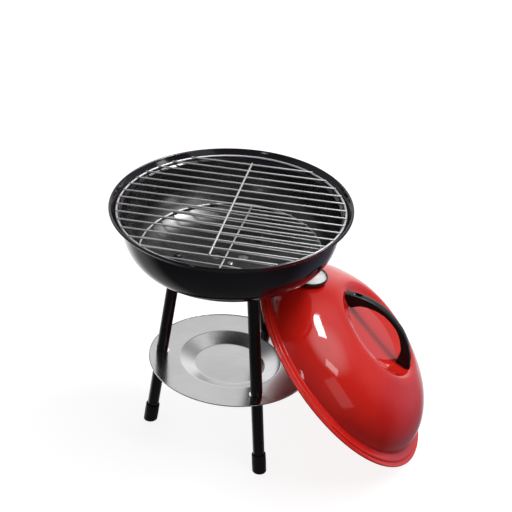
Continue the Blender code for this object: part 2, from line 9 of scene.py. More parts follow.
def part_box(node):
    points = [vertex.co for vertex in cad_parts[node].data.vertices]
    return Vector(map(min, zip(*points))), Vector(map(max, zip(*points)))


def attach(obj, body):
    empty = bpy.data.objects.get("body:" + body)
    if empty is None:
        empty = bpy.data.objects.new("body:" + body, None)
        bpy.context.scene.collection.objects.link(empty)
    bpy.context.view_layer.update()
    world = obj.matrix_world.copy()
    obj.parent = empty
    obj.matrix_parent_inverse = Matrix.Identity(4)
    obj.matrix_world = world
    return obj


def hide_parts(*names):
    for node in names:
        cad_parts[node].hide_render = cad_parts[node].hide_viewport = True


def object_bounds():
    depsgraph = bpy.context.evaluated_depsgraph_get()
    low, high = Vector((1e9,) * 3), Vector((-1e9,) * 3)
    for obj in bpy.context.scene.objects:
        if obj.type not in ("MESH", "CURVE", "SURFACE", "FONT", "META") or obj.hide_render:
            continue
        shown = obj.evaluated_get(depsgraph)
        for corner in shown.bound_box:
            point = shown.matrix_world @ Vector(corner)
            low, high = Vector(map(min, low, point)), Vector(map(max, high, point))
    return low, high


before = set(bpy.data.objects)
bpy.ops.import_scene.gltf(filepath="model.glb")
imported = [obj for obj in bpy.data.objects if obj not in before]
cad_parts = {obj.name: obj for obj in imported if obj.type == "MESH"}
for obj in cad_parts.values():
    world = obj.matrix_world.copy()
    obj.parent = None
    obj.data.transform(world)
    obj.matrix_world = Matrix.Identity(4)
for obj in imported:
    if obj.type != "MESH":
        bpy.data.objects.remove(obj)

cad_lo, cad_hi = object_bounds()
scene = bpy.context.scene
root_collection = scene.collection
tau = math.tau
rad = math.radians


# =====================================================================================
# where things stand: the frame gives the axis and the rim, the rest repeats the design
# =====================================================================================
bowl_lo, bowl_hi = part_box("fire_bowl")
rivet_lo, rivet_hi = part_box("damper_rivet")
AXIS = Vector(((rivet_lo.x + rivet_hi.x) / 2, (rivet_lo.y + rivet_hi.y) / 2, 0.0))
RIM_R = (bowl_hi.x - bowl_lo.x) / 2
RIM_Z = bowl_hi.z
BOTTOM_Z = bowl_lo.z

SPLAY = rad(8.18)
LEG_TOP_R, LEG_FOOT_R = 0.0786, 0.1232
LEG_ANGLES = {"left": 175.07, "front": 295.07, "rear": 55.07}
TUBE_R, TUBE_WALL, CAP_R, CAP_TALL = 0.0090, 0.0012, 0.0110, 0.0300
DISH_R = LEG_TOP_R / math.sin(SPLAY)
BOWL_WALL = 0.0014
SEAT_Z = 0.3956

LID_R, LID_WALL, LID_BEAD = 0.1895, 0.0014, 0.0014
LID_LEAN, LID_HEADING, LID_SPIN = rad(45.9), rad(-6.2), rad(170.0)
DOME_R, DOME_H = 0.1692, 0.0917
FLOOR_R, FLOOR_H = 0.0545, 0.0664
WALL_TOP = (0.0735, 0.0722)
RECESS_OFF = (0.0050, -0.0020)
HANDLE_WIDE = 0.0160
SCREW_AT_R, HEAD_UP = 0.0690, 0.0125
DIAL_AT_R, DIAL_TURN, DIAL_R, DIAL_DEEP = 0.1415, rad(6.0), 0.0315, 0.0064

grill = Matrix.Translation(AXIS)
lid_z = (LID_R - LID_BEAD) * math.sin(LID_LEAN) + LID_BEAD + 0.0004
lid_place = (grill @ Matrix.Translation((0.1772, -0.0030, lid_z)) @ Matrix.Rotation(LID_HEADING, 4, "Z")
             @ Matrix.Rotation(LID_LEAN, 4, "Y") @ Matrix.Rotation(LID_SPIN, 4, "Z"))
recess_place = lid_place @ Matrix.Translation((RECESS_OFF[0], RECESS_OFF[1], 0.0))


def leg_place(side):
    """Z runs up the leg from the ground, leaning in to the grill's axis; X points outwards."""
    return (grill @ Matrix.Rotation(rad(LEG_ANGLES[side]), 4, "Z") @ Matrix.Translation((LEG_FOOT_R, 0, 0))
            @ Matrix.Rotation(-SPLAY, 4, "Y"))


def dish_z(r):
    return BOTTOM_Z + DISH_R - math.sqrt(DISH_R ** 2 - r * r)


def dome_h(r):
    return DOME_H * math.sqrt(max(0.0, 1 - (r / DOME_R) ** 2))


# =====================================================================================
# mesh helpers
# =====================================================================================
class Shape:
    """Plain points and faces, so that a piece can be put together before it becomes an object."""

    def __init__(self, points=(), faces=()):
        self.p = np.asarray(points, float).reshape(-1, 3)
        self.f = [tuple(face) for face in faces]

    def moved(self, matrix):
        m = np.array(matrix)
        points = self.p @ m[:3, :3].T + m[:3, 3]
        faces = [f[::-1] for f in self.f] if np.linalg.det(m[:3, :3]) < 0 else self.f
        return Shape(points, faces)

    def __add__(self, other):
        n = len(self.p)
        return Shape(np.vstack([self.p, other.p]), self.f + [tuple(i + n for i in f) for f in other.f])

    def volume(self):
        total = 0.0
        for f in self.f:
            a = self.p[f[0]]
            for i in range(1, len(f) - 1):
                total += np.dot(a, np.cross(self.p[f[i]], self.p[f[i + 1]]))
        return total / 6

    def outward(self):
        return self if self.volume() >= 0 else Shape(self.p, [f[::-1] for f in self.f])


def turned(profile, steps=128, closed=False):
    points, rings = [], []
    for r, z in profile:
        if r < 1e-7:
            rings.append([len(points)] * steps)
            points.append((0.0, 0.0, z))
        else:
            start = len(points)
            points += [(r * math.cos(tau * k / steps), r * math.sin(tau * k / steps), z) for k in range(steps)]
            rings.append(list(range(start, start + steps)))
    faces = []
    pairs = list(zip(rings, rings[1:])) + ([(rings[-1], rings[0])] if closed else [])
    for a, b in pairs:
        for k in range(steps):
            n = (k + 1) % steps
            quad = []
            for v in (a[k], a[n], b[n], b[k]):
                if v not in quad:
                    quad.append(v)
            if len(quad) > 2:
                faces.append(quad)
    return Shape(points, faces).outward()


def fillet(points, rounds, per=4, closed=False):
    """The line with its corners rounded. rounds gives each point's radius, 0 for a sharp one."""
    made = []
    count = len(points)
    for i, at in enumerate(points):
        size = rounds[i] if i < len(rounds) else 0
        if not size or (not closed and i in (0, count - 1)):
            made.append(tuple(at))
            continue
        p = Vector((*at, 0))
        a, b = Vector((*points[i - 1], 0)) - p, Vector((*points[(i + 1) % count], 0)) - p
        reach_a, reach_b = a.length, b.length
        a.normalize(); b.normalize()
        half = math.acos(max(-1, min(1, a.dot(b)))) / 2
        if half > 1.5:
            made.append(tuple(at))
            continue
        back = min(size / math.tan(half), 0.49 * reach_a, 0.49 * reach_b)
        size = back * math.tan(half)
        centre = p + (a + b).normalized() * (size / math.sin(half))
        first, last = p + a * back - centre, p + b * back - centre
        turn = first.angle(last)
        for k in range(per + 1):
            t = k / per
            v = (first * math.sin((1 - t) * turn) + last * math.sin(t * turn)) / math.sin(turn) + centre
            made.append((v.x, v.y))
    return made


def bezier(p0, p1, p2, p3, count):
    found = []
    for i in range(count + 1):
        t = i / count
        a, b, c, d = (1 - t) ** 3, 3 * t * (1 - t) ** 2, 3 * t * t * (1 - t), t ** 3
        found.append(tuple(a * p0[k] + b * p1[k] + c * p2[k] + d * p3[k] for k in (0, 1)))
    return found


def arc(centre, radius, first, last, count):
    return [(centre[0] + radius * math.cos(rad(first + (last - first) * i / count)),
             centre[1] + radius * math.sin(rad(first + (last - first) * i / count))) for i in range(count + 1)]


def offset(points, distance):
    found = []
    for i, point in enumerate(points):
        a, b = points[max(0, i - 1)], points[min(len(points) - 1, i + 1)]
        dx, dz = b[0] - a[0], b[1] - a[1]
        size = math.hypot(dx, dz) or 1.0
        found.append((point[0] - dz / size * distance, point[1] + dx / size * distance))
    return found


def smooth_line(points, per_span):
    padded = [points[0]] + list(points) + [points[-1]]
    found = []
    for i in range(1, len(padded) - 2):
        p0, p1, p2, p3 = padded[i - 1:i + 3]
        for j in range(per_span):
            t = j / per_span
            found.append(tuple(0.5 * (2 * p1[k] + (p2[k] - p0[k]) * t
                                      + (2 * p0[k] - 5 * p1[k] + 4 * p2[k] - p3[k]) * t * t
                                      + (3 * p1[k] - p0[k] - 3 * p2[k] + p3[k]) * t ** 3) for k in (0, 1)))
    found.append(points[-1])
    return found


def capsule(start, end, radius, sides=14, ends=4):
    """A round rod with domed ends."""
    start, end = Vector(start), Vector(end)
    axis = end - start
    long = axis.length
    dome = 0.75 * radius
    profile = [(radius * math.sin(rad(90 * k / ends)), -long / 2 + dome * (1 - math.cos(rad(90 * k / ends))))
               for k in range(ends + 1)]
    profile += [(r, -z) for r, z in reversed(profile)]
    place = Matrix.Translation((start + end) / 2) @ axis.to_track_quat("Z", "Y").to_matrix().to_4x4()
    return turned(profile, sides).moved(place)


def blob(at, sx, sy, sz, sides=10, rows=5):
    """A weld nugget."""
    profile = [(math.sin(math.pi * k / rows), -math.cos(math.pi * k / rows)) for k in range(rows + 1)]
    profile[0], profile[-1] = (0, -1), (0, 1)
    return turned(profile, sides).moved(Matrix.Translation(at) @ Matrix.Diagonal((sx, sy, sz, 1)))


def rod(start, end, radius, sides=24):
    start, end = Vector(start), Vector(end)
    axis = end - start
    place = Matrix.Translation((start + end) / 2) @ axis.to_track_quat("Z", "Y").to_matrix().to_4x4()
    h = axis.length / 2
    return turned([(0, -h), (radius, -h), (radius, h), (0, h)], sides).moved(place)


def piece(name, shape, material, place=None, sharp=38.0):
    mesh = bpy.data.meshes.new(name)
    mesh.from_pydata([tuple(p) for p in shape.p], [], shape.f)
    mesh.validate()
    mesh.update()
    mesh.shade_smooth()
    mesh.set_sharp_from_angle(angle=rad(sharp))
    mesh.materials.append(material)
    made = bpy.data.objects.new(name, mesh)
    root_collection.objects.link(made)
    if place is not None:
        made.matrix_world = place
    return made


def carve(target, shapes, place=None, sharp=38.0, operation="DIFFERENCE"):
    """Cuts each shape out of the piece and keeps the result as its mesh."""
    tools = []
    for i, shape in enumerate(shapes):
        tool = piece(f"tool_{i}", shape, target.data.materials[0], place if place is not None else target.matrix_world)
        tools.append(tool)
        added = target.modifiers.new(f"cut_{i}", "BOOLEAN")
        added.operation = operation
        added.solver = "EXACT"
        added.object = tool
    bpy.context.view_layer.update()
    graph = bpy.context.evaluated_depsgraph_get()
    mesh = bpy.data.meshes.new_from_object(target.evaluated_get(graph), depsgraph=graph)
    target.modifiers.clear()
    old = target.data
    target.data = mesh
    bpy.data.meshes.remove(old)
    mesh.shade_smooth()
    mesh.set_sharp_from_angle(angle=rad(sharp))
    for tool in tools:
        data = tool.data
        bpy.data.objects.remove(tool)
        bpy.data.meshes.remove(data)
    return target


def finish_piece(made, body, *nodes, slot=None):
    """Puts the mesh into the shared frame, so that its box is its true one, and gives it to its body."""
    bpy.context.view_layer.update()
    made.data.transform(made.matrix_world)
    made.matrix_world = Matrix.Identity(4)
    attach(made, body)
    if nodes:
        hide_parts(*nodes)
    return made


# =====================================================================================
# materials
# =====================================================================================
class Nodes:
    def __init__(self, name):
        self.material = bpy.data.materials.new(name)
        self.material.use_nodes = True
        self.tree = self.material.node_tree
        self.shader = self.tree.nodes["Principled BSDF"]
        self.coords = self.tree.nodes.new("ShaderNodeTexCoord")

    def set(self, **values):
        for key, value in values.items():
            socket = self.shader.inputs[key.replace("_", " ").title() if key not in RENAMED else RENAMED[key]]
            socket.default_value = (*value, 1.0) if isinstance(value, tuple) and len(value) == 3 else value
        return self

    def new(self, kind, **props):
        made = self.tree.nodes.new("ShaderNode" + kind)
        for key, value in props.items():
            setattr(made, key, value)
        return made

    def link(self, a, b):
        self.tree.links.new(a, b)

    def at(self, scale=(1, 1, 1), source="Object"):
        mapping = self.new("Mapping")
        mapping.inputs["Scale"].default_value = scale
        self.link(self.coords.outputs[source], mapping.inputs["Vector"])
        return mapping.outputs["Vector"]

    def noise(self, scale, detail=3.0, rough=0.5, vector=None, distortion=0.0):
        made = self.new("TexNoise")
        made.inputs["Scale"].default_value = scale
        made.inputs["Detail"].default_value = detail
        made.inputs["Roughness"].default_value = rough
        made.inputs["Distortion"].default_value = distortion
        self.link(vector if vector is not None else self.coords.outputs["Object"], made.inputs["Vector"])
        return made.outputs["Fac"]

    def spread(self, source, low, high, from_low=0.3, from_high=0.7, smooth=False):
        made = self.new("MapRange")
        made.interpolation_type = "SMOOTHSTEP" if smooth else "LINEAR"
        made.inputs["From Min"].default_value = from_low
        made.inputs["From Max"].default_value = from_high
        made.inputs["To Min"].default_value = low
        made.inputs["To Max"].default_value = high
        self.link(source, made.inputs["Value"])
        return made.outputs["Result"]

    def mix(self, factor, a, b, blend="MIX"):
        made = self.new("Mix", data_type="RGBA", blend_type=blend)
        if isinstance(factor, (int, float)):
            made.inputs["Factor"].default_value = factor
        else:
            self.link(factor, made.inputs["Factor"])
        for socket, value in (("A", a), ("B", b)):
            target = [s for s in made.inputs if s.name == socket and s.type == "RGBA"][0]
            if isinstance(value, tuple):
                target.default_value = (*value, 1.0)
            else:
                self.link(value, target)
        return [s for s in made.outputs if s.type == "RGBA"][0]

    def math(self, operation, a, b=None, clamp=False):
        made = self.new("Math", operation=operation, use_clamp=clamp)
        for socket, value in zip(made.inputs, (a, b)):
            if value is None:
                continue
            if isinstance(value, (int, float)):
                socket.default_value = value
            else:
                self.link(value, socket)
        return made.outputs["Value"]

    def bump(self, height, distance, strength=1.0, normal=None):
        made = self.new("Bump")
        made.inputs["Distance"].default_value = distance
        made.inputs["Strength"].default_value = strength
        self.link(height, made.inputs["Height"])
        if normal is not None:
            self.link(normal, made.inputs["Normal"])
        return made.outputs["Normal"]

    def to(self, output, socket):
        self.link(output, self.shader.inputs[socket])
        return self


RENAMED = {"ior": "IOR", "specular": "Specular IOR Level", "coat": "Coat Weight", "coat_roughness": "Coat Roughness",
           "base": "Base Color", "alpha": "Alpha", "transmission": "Transmission Weight", "coat_ior": "Coat IOR"}


def enamel(name, colour, shade, roughness, specular, coat, waviness=0.00004, smear_by=(0.75, 1.35), orange_peel=0.000012):
    """Gloss vitreous enamel over pressed sheet: faint orange peel, pinhead specks and a slow drift of tone."""
    n = Nodes(name).set(specular=specular, coat=coat, coat_roughness=0.03, metallic=0.0)
    drift = n.noise(9.0, 3.0, 0.55)
    tone = n.mix(n.spread(drift, 0.0, 1.0, 0.35, 0.65, True), colour, shade)
    speck = n.noise(900.0, 2.0, 0.6)
    tone = n.mix(n.spread(speck, 0.0, 0.35, 0.66, 0.74, True), tone, tuple(c * 0.45 for c in colour))
    n.to(tone, "Base Color")
    smear = n.noise(28.0, 4.0, 0.6, n.at((1.0, 1.6, 0.7)))
    n.to(n.spread(smear, roughness * smear_by[0], roughness * smear_by[1], 0.3, 0.7), "Roughness")
    peel = n.noise(260.0, 2.0, 0.45)
    slow = n.noise(34.0, 2.0, 0.5)
    n.to(n.bump(peel, orange_peel, 1.0, n.bump(slow, waviness)), "Normal")
    return n.material


RED = enamel("red_enamel", (0.640, 0.0160, 0.0098), (0.560, 0.0120, 0.0080), 0.070, 0.50, 0.0)
# The black enamel's faint purple cast is painted reflection, the cool room seen in the gloss; the near-black itself is
# the enamel's own.
BLACK = enamel("black_enamel", (0.0058, 0.0036, 0.0072), (0.0080, 0.0052, 0.0098), 0.095, 0.42, 0.0)
# A darker copy of the black enamel for the inside of the bowl: its darker colour is painted shade; its rougher,
# stronger gloss spreads the lamps' glare.
BLACK_IN_PAINTED_SHADE = enamel("black_enamel_inside_painted_shade", (0.0012, 0.0011, 0.0013), (0.0022, 0.0020, 0.0023), 0.27, 0.80, 0.0, 0.00002,
                  (0.92, 1.10), 0.000004)
BLACK_IN_PAINTED_SHADE.node_tree.nodes["Principled BSDF"].inputs["IOR"].default_value = 1.55


def leg_paint():
    n = Nodes("black_leg_paint").set(specular=0.38, metallic=0.0, coat=0.0)
    drift = n.noise(40.0, 3.0)
    n.to(n.mix(drift, (0.0040, 0.0039, 0.0042), (0.0075, 0.0072, 0.0078)), "Base Color")
    streak = n.noise(60.0, 3.0, 0.6, n.at((1, 1, 0.06)))
    n.to(n.spread(streak, 0.16, 0.30), "Roughness")
    n.to(n.bump(n.noise(420.0, 2.0), 0.00001), "Normal")
    return n.material


def rubber():
    n = Nodes("black_rubber").set(specular=0.30)
    n.to(n.mix(n.noise(90.0, 4.0), (0.006, 0.006, 0.0064), (0.0125, 0.0122, 0.0125)), "Base Color")
    n.to(n.spread(n.noise(160.0, 3.0), 0.42, 0.62), "Roughness")
    n.to(n.bump(n.noise(1400.0, 3.0, 0.6), 0.00004, 0.7), "Normal")
    return n.material


def moulded():
    n = Nodes("black_moulded_plastic").set(specular=0.26)
    n.to(n.mix(n.noise(70.0, 3.0), (0.0036, 0.0035, 0.0036), (0.0066, 0.0064, 0.0066)), "Base Color")
    n.to(n.spread(n.noise(45.0, 3.0), 0.27, 0.42), "Roughness")
    grain = n.new("TexVoronoi")
    grain.inputs["Scale"].default_value = 1500.0
    n.link(n.coords.outputs["Object"], grain.inputs["Vector"])
    n.to(n.bump(grain.outputs["Distance"], 0.00003, 0.5), "Normal")
    return n.material


def wire():
    n = Nodes("chromed_wire").set(metallic=1.0)
    n.to(n.mix(n.noise(60.0, 4.0, 0.6), (0.74, 0.74, 0.74), (0.60, 0.60, 0.61)), "Base Color")
    n.to(n.spread(n.noise(240.0, 4.0, 0.65), 0.46, 0.62), "Roughness")
    n.to(n.bump(n.noise(700.0, 3.0), 0.000004), "Normal")
    return n.material


def zinc():
    n = Nodes("zinc_plated_steel").set(metallic=1.0)
    n.to(n.mix(n.noise(300.0, 4.0, 0.6), (0.66, 0.66, 0.65), (0.48, 0.48, 0.49)), "Base Color")
    n.to(n.spread(n.noise(500.0, 3.0), 0.22, 0.42), "Roughness")
    n.to(n.bump(n.noise(1100.0, 3.0), 0.00002), "Normal")
    return n.material


# Dark steel for the leg bolts and washers, much darker than the zinc of the other fixings.
def dark_steel_material():
    n = Nodes("dark_steel").set(metallic=1.0)
    n.to(n.mix(n.noise(300.0, 4.0, 0.6), (0.13, 0.125, 0.125), (0.070, 0.068, 0.070)), "Base Color")
    n.to(n.spread(n.noise(500.0, 3.0), 0.36, 0.55), "Roughness")
    n.to(n.bump(n.noise(1100.0, 3.0), 0.00002), "Normal")
    return n.material


def sheet():
    """Galvanised sheet with the fine straight grain of the rolling mill."""
    n = Nodes("brushed_sheet").set(metallic=1.0)
    grain = n.noise(30.0, 5.0, 0.65, n.at((2.0, 60.0, 2.0)))
    fine = n.noise(90.0, 4.0, 0.6, n.at((1.5, 40.0, 1.5)))
    cloud = n.noise(11.0, 4.0, 0.6)
    tone = n.mix(n.spread(grain, 0.0, 1.0), (0.60, 0.594, 0.602), (0.69, 0.684, 0.692))
    tone = n.mix(n.spread(cloud, 0.0, 0.35, 0.4, 0.7, True), tone, (0.565, 0.56, 0.568))
    n.to(tone, "Base Color")
    n.to(n.math("ADD", n.spread(fine, 0.14, 0.20), n.spread(cloud, -0.02, 0.04)), "Roughness")
    n.to(n.bump(grain, 0.000006, 0.5, n.bump(n.noise(14.0, 2.0), 0.00006)), "Normal")
    return n.material


def gauge_white():
    n = Nodes("gauge_white").set(specular=0.4)
    n.to(n.mix(n.noise(120.0, 3.0), (0.80, 0.80, 0.78), (0.74, 0.74, 0.715)), "Base Color")
    n.to(n.spread(n.noise(200.0, 3.0), 0.30, 0.42), "Roughness")
    n.to(n.bump(n.noise(900.0, 2.0), 0.00001), "Normal")
    return n.material


def ink(name, a, b):
    n = Nodes(name).set(specular=0.3)
    n.to(n.mix(n.noise(500.0, 2.0), a, b), "Base Color")
    n.to(n.spread(n.noise(300.0, 2.0), 0.35, 0.5), "Roughness")
    return n.material


def bezel_black():
    n = Nodes("bezel_black").set(specular=0.45)
    n.to(n.mix(n.noise(90.0, 3.0), (0.010, 0.0098, 0.010), (0.020, 0.0195, 0.020)), "Base Color")
    n.to(n.spread(n.noise(260.0, 3.0), 0.20, 0.34), "Roughness")
    n.to(n.bump(n.noise(800.0, 2.0), 0.00001), "Normal")
    return n.material


def lens_glass():
    n = Nodes("lens_glass").set(ior=1.5, specular=0.6)
    n.to(n.mix(n.noise(40.0, 2.0), (0.85, 0.86, 0.86), (0.80, 0.81, 0.81)), "Base Color")
    n.to(n.spread(n.noise(120.0, 3.0), 0.015, 0.05), "Roughness")
    edge = n.new("LayerWeight")
    edge.inputs["Blend"].default_value = 0.25
    n.to(n.spread(edge.outputs["Fresnel"], 0.05, 0.40, 0.0, 1.0), "Alpha")
    return n.material


def bimetal():
    n = Nodes("bimetal").set(metallic=1.0)
    n.to(n.mix(n.noise(400.0, 3.0), (0.62, 0.45, 0.27), (0.50, 0.35, 0.22)), "Base Color")
    n.to(n.spread(n.noise(300.0, 3.0), 0.25, 0.45), "Roughness")
    return n.material


LEG_PAINT, RUBBER, MOULDED, WIRE, ZINC, SHEET = leg_paint(), rubber(), moulded(), wire(), zinc(), sheet()
GAUGE_WHITE, BEZEL, LENS, BIMETAL = gauge_white(), bezel_black(), lens_glass(), bimetal()
DARK_STEEL = dark_steel_material()
NEEDLE_INK = ink("needle_ink", (0.012, 0.012, 0.012), (0.025, 0.024, 0.024))
SCALE_INK = ink("scale_ink", (0.018, 0.018, 0.018), (0.030, 0.030, 0.030))


# =====================================================================================
# bowl
# =====================================================================================
dish_edge = 0.1050
slope = math.asin(dish_edge / DISH_R)
outer = [(0.0, BOTTOM_Z)] + [(r, dish_z(r)) for r in np.linspace(0.008, 0.098, 12)]
outer += bezier((dish_edge, dish_z(dish_edge)),
                (dish_edge + 0.0380 * math.cos(slope), dish_z(dish_edge) + 0.0380 * math.sin(slope)),
                (0.1600, 0.3450), (0.1602, 0.3862), 34)
inner = offset(outer, BOWL_WALL)
inner[0] = (0.0, BOTTOM_Z + BOWL_WALL)
bead = (RIM_R - 0.0020, RIM_Z - 0.0020)
top_out = fillet([outer[-1], (0.1606, 0.3926), (0.1634, 0.3942), (0.1690, 0.3944), (0.1716, 0.3962), (0.1738, 0.4012)],
                 [0, 0.0022, 0.003, 0.0016, 0.003, 0], 5)[1:]
top_bead = arc(bead, 0.0020, -78, 168, 14)
top_in = fillet([top_bead[-1], (0.1726, 0.4010), (0.1704, 0.3972), (0.1690, SEAT_Z), (0.1628, SEAT_Z), (0.1596, 0.3930),
                 inner[-1]], [0, 0.003, 0.0022, 0.0016, 0.0022, 0.0012, 0], 5)[1:-1]
bowl = piece("bowl_shell", turned(outer + top_out + top_bead + top_in + inner[::-1], 192), BLACK, grill)
cuts = [rod((0.028 * math.cos(tau * (i + 0.5) / 4), 0.028 * math.sin(tau * (i + 0.5) / 4), BOTTOM_Z - 0.01),
            (0.028 * math.cos(tau * (i + 0.5) / 4), 0.028 * math.sin(tau * (i + 0.5) / 4), BOTTOM_Z + 0.01), 0.008, 40)
        for i in range(4)]
cuts.append(rod((0, 0, BOTTOM_Z - 0.01), (0, 0, BOTTOM_Z + 0.01), 0.0029, 24))
leg_long = dish_z(LEG_TOP_R) / math.cos(SPLAY)
for side in LEG_ANGLES:
    into = grill.inverted() @ leg_place(side)
    cuts.append(rod((0, 0, leg_long - 0.006), (0, 0, leg_long + 0.008), 0.0034, 24).moved(into))
carve(bowl, cuts)
# The inward- and upward-facing faces below the rim take the darker copy: painted shade inside the bowl.
bowl.data.materials.append(BLACK_IN_PAINTED_SHADE)
for poly in bowl.data.polygons:
    centre_of = poly.center
    r = math.hypot(centre_of.x, centre_of.y)
    outwards = (poly.normal.x * centre_of.x + poly.normal.y * centre_of.y) / max(r, 1e-6)
    if centre_of.z < 0.3925 and (outwards < -0.05 or poly.normal.z > 0.3):
        poly.material_index = 1
finish_piece(bowl, "stand", "fire_bowl", slot="black_enamel")


# =====================================================================================
# legs, caps and fixings
# =====================================================================================
tube_top, tube_foot = leg_long - 0.0005, 0.0060


def pan_head(radius, tall, shank, low, seat):
    """A pan-headed machine screw on the Z axis, with rolled threads below."""
    profile = [(0.0, low), (shank * 0.8, low), (shank, low + 0.0008)]
    pitch = 0.0008
    z = low + 0.0012
    while z < seat - 0.0018:
        profile += [(shank, z), (shank * 0.86, z + pitch / 2)]
        z += pitch
    profile += [(shank, seat - 0.0008), (shank, seat)]
    profile += [(radius - 0.0003, seat), (radius, seat + 0.0003), (radius, seat + tall * 0.30),
                (radius * 0.93, seat + tall * 0.62), (radius * 0.72, seat + tall * 0.87),
                (radius * 0.40, seat + tall * 0.98), (0.0, seat + tall)]
    return turned(profile, 40)


def cross_recess(radius, top, deep):
    """The tool for a cross recess in a screw head."""
    w = radius * 0.16
    made = []
    for turn in (0, math.pi / 2):
        points, faces = [], []
        for z, reach, wide in ((top + 0.001, radius * 0.62, w * 1.25), (top - deep, radius * 0.30, w * 0.7)):
            for x, y in ((-reach, -wide), (reach, -wide), (reach, wide), (-reach, wide)):
                points.append((x, y, z))
        faces = [(0, 1, 2, 3), (7, 6, 5, 4), (0, 4, 5, 1), (1, 5, 6, 2), (2, 6, 7, 3), (3, 7, 4, 0)]
        made.append(Shape(points, faces).outward().moved(Matrix.Rotation(turn, 4, "Z")))
    return made


for side in LEG_ANGLES:
    place = leg_place(side)
    tube = fillet([(TUBE_R - TUBE_WALL, tube_foot), (TUBE_R, tube_foot), (TUBE_R, tube_top), (TUBE_R - TUBE_WALL, tube_top)],
                  [0.0002, 0.0004, 0.0004, 0.0002], 3, closed=True)
    made = piece("leg_tube_" + side, turned(tube, 48, closed=True), LEG_PAINT, place)
    finish_piece(made, "stand", "leg_" + side, slot="leg_black")

    bore = TUBE_R + 0.0003
    cup = fillet([(0.0, -0.0060), (CAP_R - 0.0003, -0.0060), (CAP_R, CAP_TALL * 0.5), (CAP_R - 0.0002, CAP_TALL),
                  (bore, CAP_TALL), (bore, tube_foot - 0.0004), (0.0, tube_foot - 0.0004)],
                 [0, 0.0009, 0.05, 0.0007, 0.0002, 0, 0], 5)
    cap = piece("foot_cup_" + side, turned(cup, 64), RUBBER, place)
    into = place.inverted()
    level = rod((0, 0, -0.030), (0, 0, 0.0), 0.030, 8).moved(into @ Matrix.Translation(place @ Vector((0, 0, 0))))
    carve(cap, [level])
    finish_piece(cap, "stand", "foot_cap_" + side, slot="cap_black")

    inside = leg_long + BOWL_WALL + 0.0001
    washer = fillet([(0.0034, inside + 0.0004), (0.0078, inside + 0.0004), (0.0078, inside + 0.0016), (0.0034, inside + 0.0016)],
                    [0.0001, 0.0003, 0.0004, 0.0001], 3, closed=True)
    finish_piece(piece("washer_" + side, turned(washer, 40, closed=True), DARK_STEEL, place), "stand", "leg_washer_" + side,
                 slot="zinc_steel")
    seat = inside + 0.0004 + 0.0012 + 0.0004
    bolt = piece("bolt_" + side, pan_head(0.0058, 0.0038, 0.0030, tube_top - 0.0180, seat), DARK_STEEL, place)
    carve(bolt, cross_recess(0.0058, seat + 0.0038, 0.0018))
    finish_piece(bolt, "stand", "leg_bolt_" + side, slot="zinc_steel")


# =====================================================================================
# grates
# =====================================================================================
def grate(name, node, body, ring_r, ring_z, ring_wire, wire_r, rods, pitch, turn, bar_short, seed):
    rng = random.Random(seed)
    shape = turned([(ring_r + ring_wire * math.cos(tau * k / 16), ring_wire * math.sin(tau * k / 16)) for k in range(16)],
                   176, closed=True)
    rod_z = ring_wire + wire_r - 0.0009
    bar_z = rod_z + 2 * wire_r - 0.0007
    spin = Matrix.Rotation(turn, 3, "Z")
    # the butt weld that closes the ring
    a = turn + 1.9
    shape += blob((ring_r * math.cos(a), ring_r * math.sin(a), 0.0), 0.0021, 0.0021, 0.0020)
    for i in range(rods):
        off = (i - (rods - 1) / 2) * pitch
        half = math.sqrt(ring_r ** 2 - off * off) + 0.0012
        ends = [spin @ Vector((x, off, rod_z)) for x in (-half, half)]
        shape += capsule(*ends, wire_r, 12, 4)
        for end in (-1, 1):
            spot = spin @ Vector((end * (half - 0.0012 - rng.uniform(0.0, 0.0004)), off, rod_z * 0.52))
            shape += blob(spot, *(rng.uniform(0.00150, 0.00185) for _ in range(2)), rng.uniform(0.0011, 0.0014))
        spot = spin @ Vector((0.0007, off, (rod_z + bar_z) / 2))
        shape += blob(spot, *(rng.uniform(0.00125, 0.00150) for _ in range(2)), 0.0010)
    reach = (rods - 1) / 2 * pitch + 0.0030 - bar_short
    ends = [spin @ Vector((0.0007, y, bar_z)) for y in (-reach, reach)]
    shape += capsule(*ends, wire_r * 1.05, 12, 4)
    made = piece(name, shape, WIRE, grill @ Matrix.Translation((0, 0, ring_z)))
    return finish_piece(made, body, node, slot="chrome_wire")


coal_lo, coal_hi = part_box("charcoal_grate")
coal_r = (coal_hi.x - coal_lo.x) / 2 - 0.00175
grate("cooking_wires", "cooking_grate", "cooking_grate", 0.1665, 0.39775, 0.00175, 0.00130, 14, 0.0211, rad(-12.3), 0.0020, 3)
grate("charcoal_wires", "charcoal_grate", "charcoal_grate", coal_r, 0.3300, 0.00175, 0.00130, 12, 0.0215, rad(-14.3), 0.0, 5)


# =====================================================================================
# ash plate
# =====================================================================================
plate_up = Vector((0.0600, 0.0400, 1.0)).normalized()
plate_place = (grill @ Matrix.Translation((0.0040, -0.0030, 0.1319))
               @ Vector((0, 0, 1)).rotation_difference(plate_up).to_matrix().to_4x4())
PLATE_R, PLATE_DISH_R, PLATE_FLOOR_R, PLATE_DEEP, PLATE_T = 0.1271, 0.0785, 0.0545, 0.0100, 0.0010
mid = fillet([(0.0, -PLATE_DEEP), (PLATE_FLOOR_R, -PLATE_DEEP), (PLATE_DISH_R, 0.0), (PLATE_R - 0.0012, 0.0),
              (PLATE_R - 0.0006, 0.0009)], [0, 0.0055, 0.0060, 0.0008, 0], 10)
mid = [mid[0]] + [(r, mid[0][1]) for r in np.linspace(0.01, 0.045, 5)] + mid[1:]
top_line = mid
low_line = [(r, z - PLATE_T) for r, z in mid if r < PLATE_R - 0.004]
edge_line = fillet([(PLATE_R - 0.0035, -PLATE_T), (PLATE_R - 0.0001, -PLATE_T), (PLATE_R, 0.0009), (PLATE_R - 0.0006, 0.0009)],
                   [0, 0.0009, 0.00025, 0.00025], 5)[:-1]
